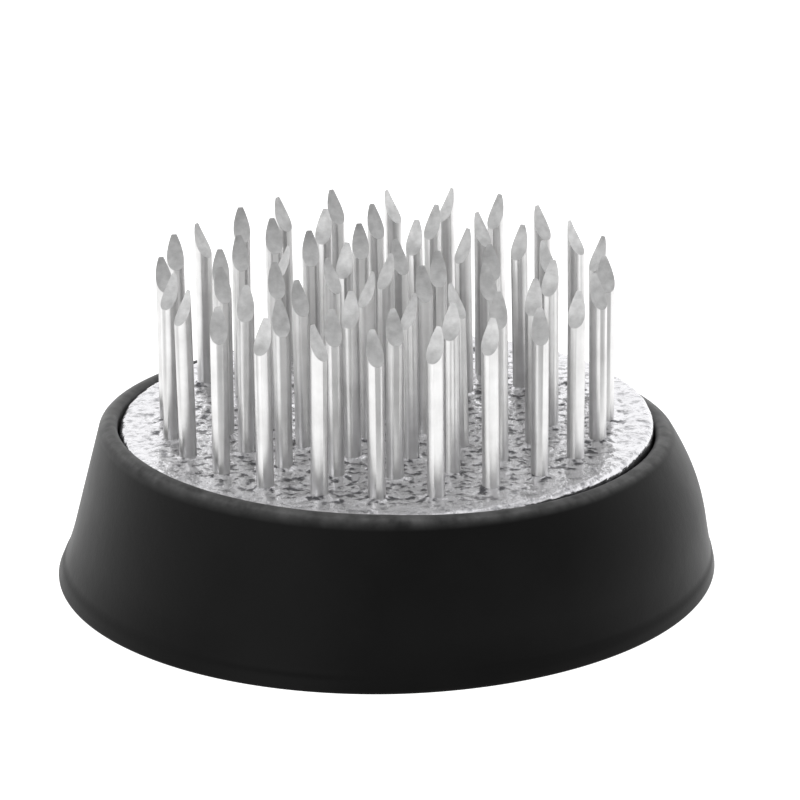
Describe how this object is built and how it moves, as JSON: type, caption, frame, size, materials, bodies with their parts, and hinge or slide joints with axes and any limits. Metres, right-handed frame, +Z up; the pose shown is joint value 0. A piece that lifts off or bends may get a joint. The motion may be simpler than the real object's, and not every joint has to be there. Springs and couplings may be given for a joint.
{
  "type": "flower frog",
  "caption": "Round pin-type flower frog: a heavy cast disc set with slant-cut steel pins, which lifts out of a flared rubber base.",
  "frame": {"origin": "middle of the face that the rubber base stands on", "axes": "+Z up along the pins and the axis of the disc; -Y is the front, which the slanted cuts of the pins mostly face"},
  "size_m": [0.0516, 0.0516, 0.0259],
  "materials": {
    "rubber": "matte moulded black rubber",
    "cast_alloy": "rough as-cast pale grey lead-tin alloy",
    "pin_steel": "bright drawn steel wire, cut on a slant"
  },
  "bodies": {
    "base": {"rubber_base": "rubber"},
    "frog": {"cast_weight": "cast_alloy", "centre_pin": "pin_steel", "inner_ring_pins": "pin_steel", "second_ring_pin_01": "pin_steel", "second_ring_pin_02": "pin_steel", "second_ring_pin_03": "pin_steel", "second_ring_pin_04": "pin_steel", "second_ring_pin_05": "pin_steel", "second_ring_pin_06": "pin_steel", "second_ring_pin_07": "pin_steel", "second_ring_pin_08": "pin_steel", "second_ring_pin_09": "pin_steel", "second_ring_pin_10": "pin_steel", "second_ring_pin_11": "pin_steel", "second_ring_pin_12": "pin_steel", "third_ring_pin_01": "pin_steel", "third_ring_pin_02": "pin_steel", "third_ring_pin_03": "pin_steel", "third_ring_pin_04": "pin_steel", "third_ring_pin_05": "pin_steel", "third_ring_pin_06": "pin_steel", "third_ring_pin_07": "pin_steel", "third_ring_pin_08": "pin_steel", "third_ring_pin_09": "pin_steel", "third_ring_pin_10": "pin_steel", "third_ring_pin_11": "pin_steel", "third_ring_pin_12": "pin_steel", "third_ring_pin_13": "pin_steel", "third_ring_pin_14": "pin_steel", "third_ring_pin_15": "pin_steel", "third_ring_pin_16": "pin_steel", "third_ring_pin_17": "pin_steel", "third_ring_pin_18": "pin_steel", "outer_ring_pin_01": "pin_steel", "outer_ring_pin_02": "pin_steel", "outer_ring_pin_03": "pin_steel", "outer_ring_pin_04": "pin_steel", "outer_ring_pin_05": "pin_steel", "outer_ring_pin_06": "pin_steel", "outer_ring_pin_07": "pin_steel", "outer_ring_pin_08": "pin_steel", "outer_ring_pin_09": "pin_steel", "outer_ring_pin_10": "pin_steel", "outer_ring_pin_11": "pin_steel", "outer_ring_pin_12": "pin_steel", "outer_ring_pin_13": "pin_steel", "outer_ring_pin_14": "pin_steel", "outer_ring_pin_15": "pin_steel", "outer_ring_pin_16": "pin_steel", "outer_ring_pin_17": "pin_steel", "outer_ring_pin_18": "pin_steel", "outer_ring_pin_19": "pin_steel", "outer_ring_pin_20": "pin_steel", "outer_ring_pin_21": "pin_steel", "outer_ring_pin_22": "pin_steel", "outer_ring_pin_23": "pin_steel", "outer_ring_pin_24": "pin_steel"}
  },
  "joints": [
    {"name": "frog_lift", "type": "slide", "parent": "base", "child": "frog", "axis": [0, 0, 1], "range_m": [0, 0.02]}
  ]
}
